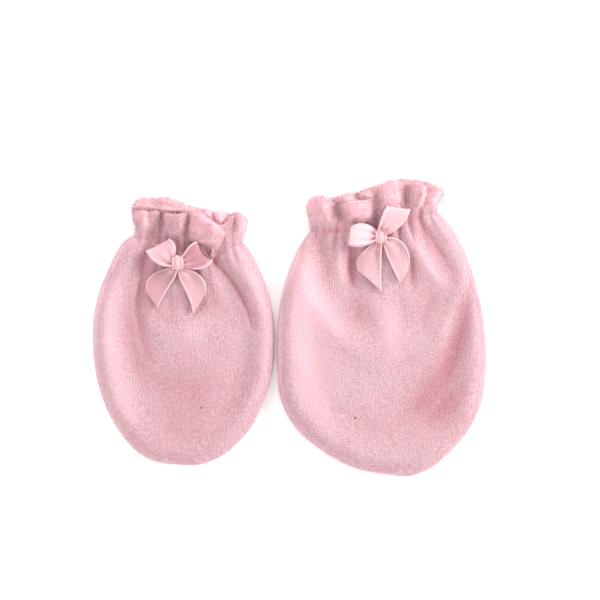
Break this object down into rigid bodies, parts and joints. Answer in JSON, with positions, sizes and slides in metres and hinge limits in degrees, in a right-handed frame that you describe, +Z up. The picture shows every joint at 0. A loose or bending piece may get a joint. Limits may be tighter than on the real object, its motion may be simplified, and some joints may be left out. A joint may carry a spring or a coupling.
{
  "type": "pair of baby scratch mittens",
  "caption": "Pair of thumbless baby scratch mittens in pink velour, laid flat side by side, each with an elastic-gathered frill at the wrist and a satin ribbon bow.",
  "frame": {"origin": "on the surface that the pair lies on, under the middle of the pair's box", "axes": "+Z up from the surface, +Y from the finger ends towards the frilled wrists, +X from the smaller mitten to the larger"},
  "size_m": [0.1514, 0.1142, 0.0129],
  "materials": {
    "velour": "pale pink knitted velour with a short soft nap",
    "hem_velour": "the same velour turned over at the hem, its pile fuzzier",
    "satin_ribbon": "pale pink satin ribbon with corded edges"
  },
  "bodies": {
    "root": {"left_front": "velour", "left_back": "velour", "left_frill_front": "hem_velour", "left_frill_back": "hem_velour", "left_bow_loop_left": "satin_ribbon", "left_bow_loop_right": "satin_ribbon", "left_bow_tail_left": "satin_ribbon", "left_bow_tail_right": "satin_ribbon", "left_bow_knot": "satin_ribbon", "right_front": "velour", "right_back": "velour", "right_frill_front": "hem_velour", "right_frill_back": "hem_velour", "right_bow_loop_left": "satin_ribbon", "right_bow_loop_right": "satin_ribbon", "right_bow_tail_left": "satin_ribbon", "right_bow_tail_right": "satin_ribbon", "right_bow_knot": "satin_ribbon"}
  },
  "joints": []
}
